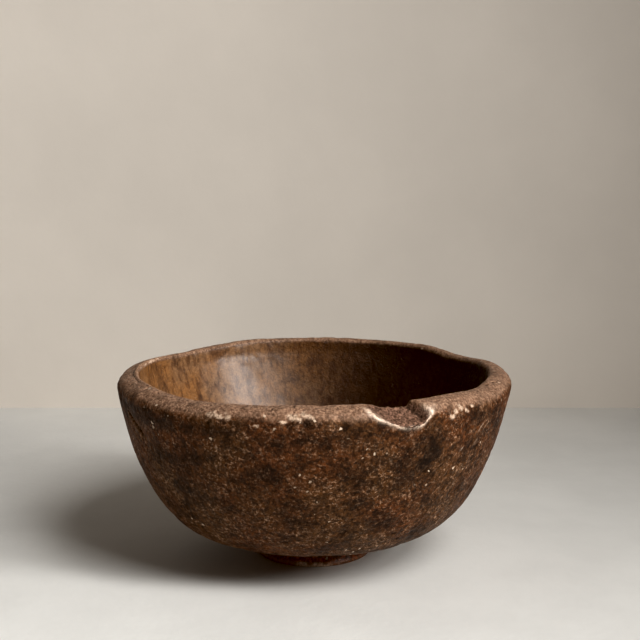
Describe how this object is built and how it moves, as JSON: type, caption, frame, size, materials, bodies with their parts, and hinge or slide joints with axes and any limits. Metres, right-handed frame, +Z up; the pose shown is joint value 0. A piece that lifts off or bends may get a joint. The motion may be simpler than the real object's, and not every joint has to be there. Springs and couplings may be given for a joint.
{
  "type": "carved stone bowl",
  "caption": "Thick-walled round bowl carved from one block of stone, on a small low foot, with a rounded rim that has an old flake broken out of it.",
  "frame": {"origin": "centre of the foot's flat resting face", "axes": "+Z up along the bowl's axis; -Y is the front; the break in the rim is in the front, towards +X"},
  "size_m": [0.2, 0.2, 0.0965],
  "materials": {
    "patinated_stone": "brown-stained coarse crystalline stone under old wax, semi-gloss, worn pale along the rim"
  },
  "bodies": {
    "root": {"bowl": "patinated_stone"}
  },
  "joints": []
}
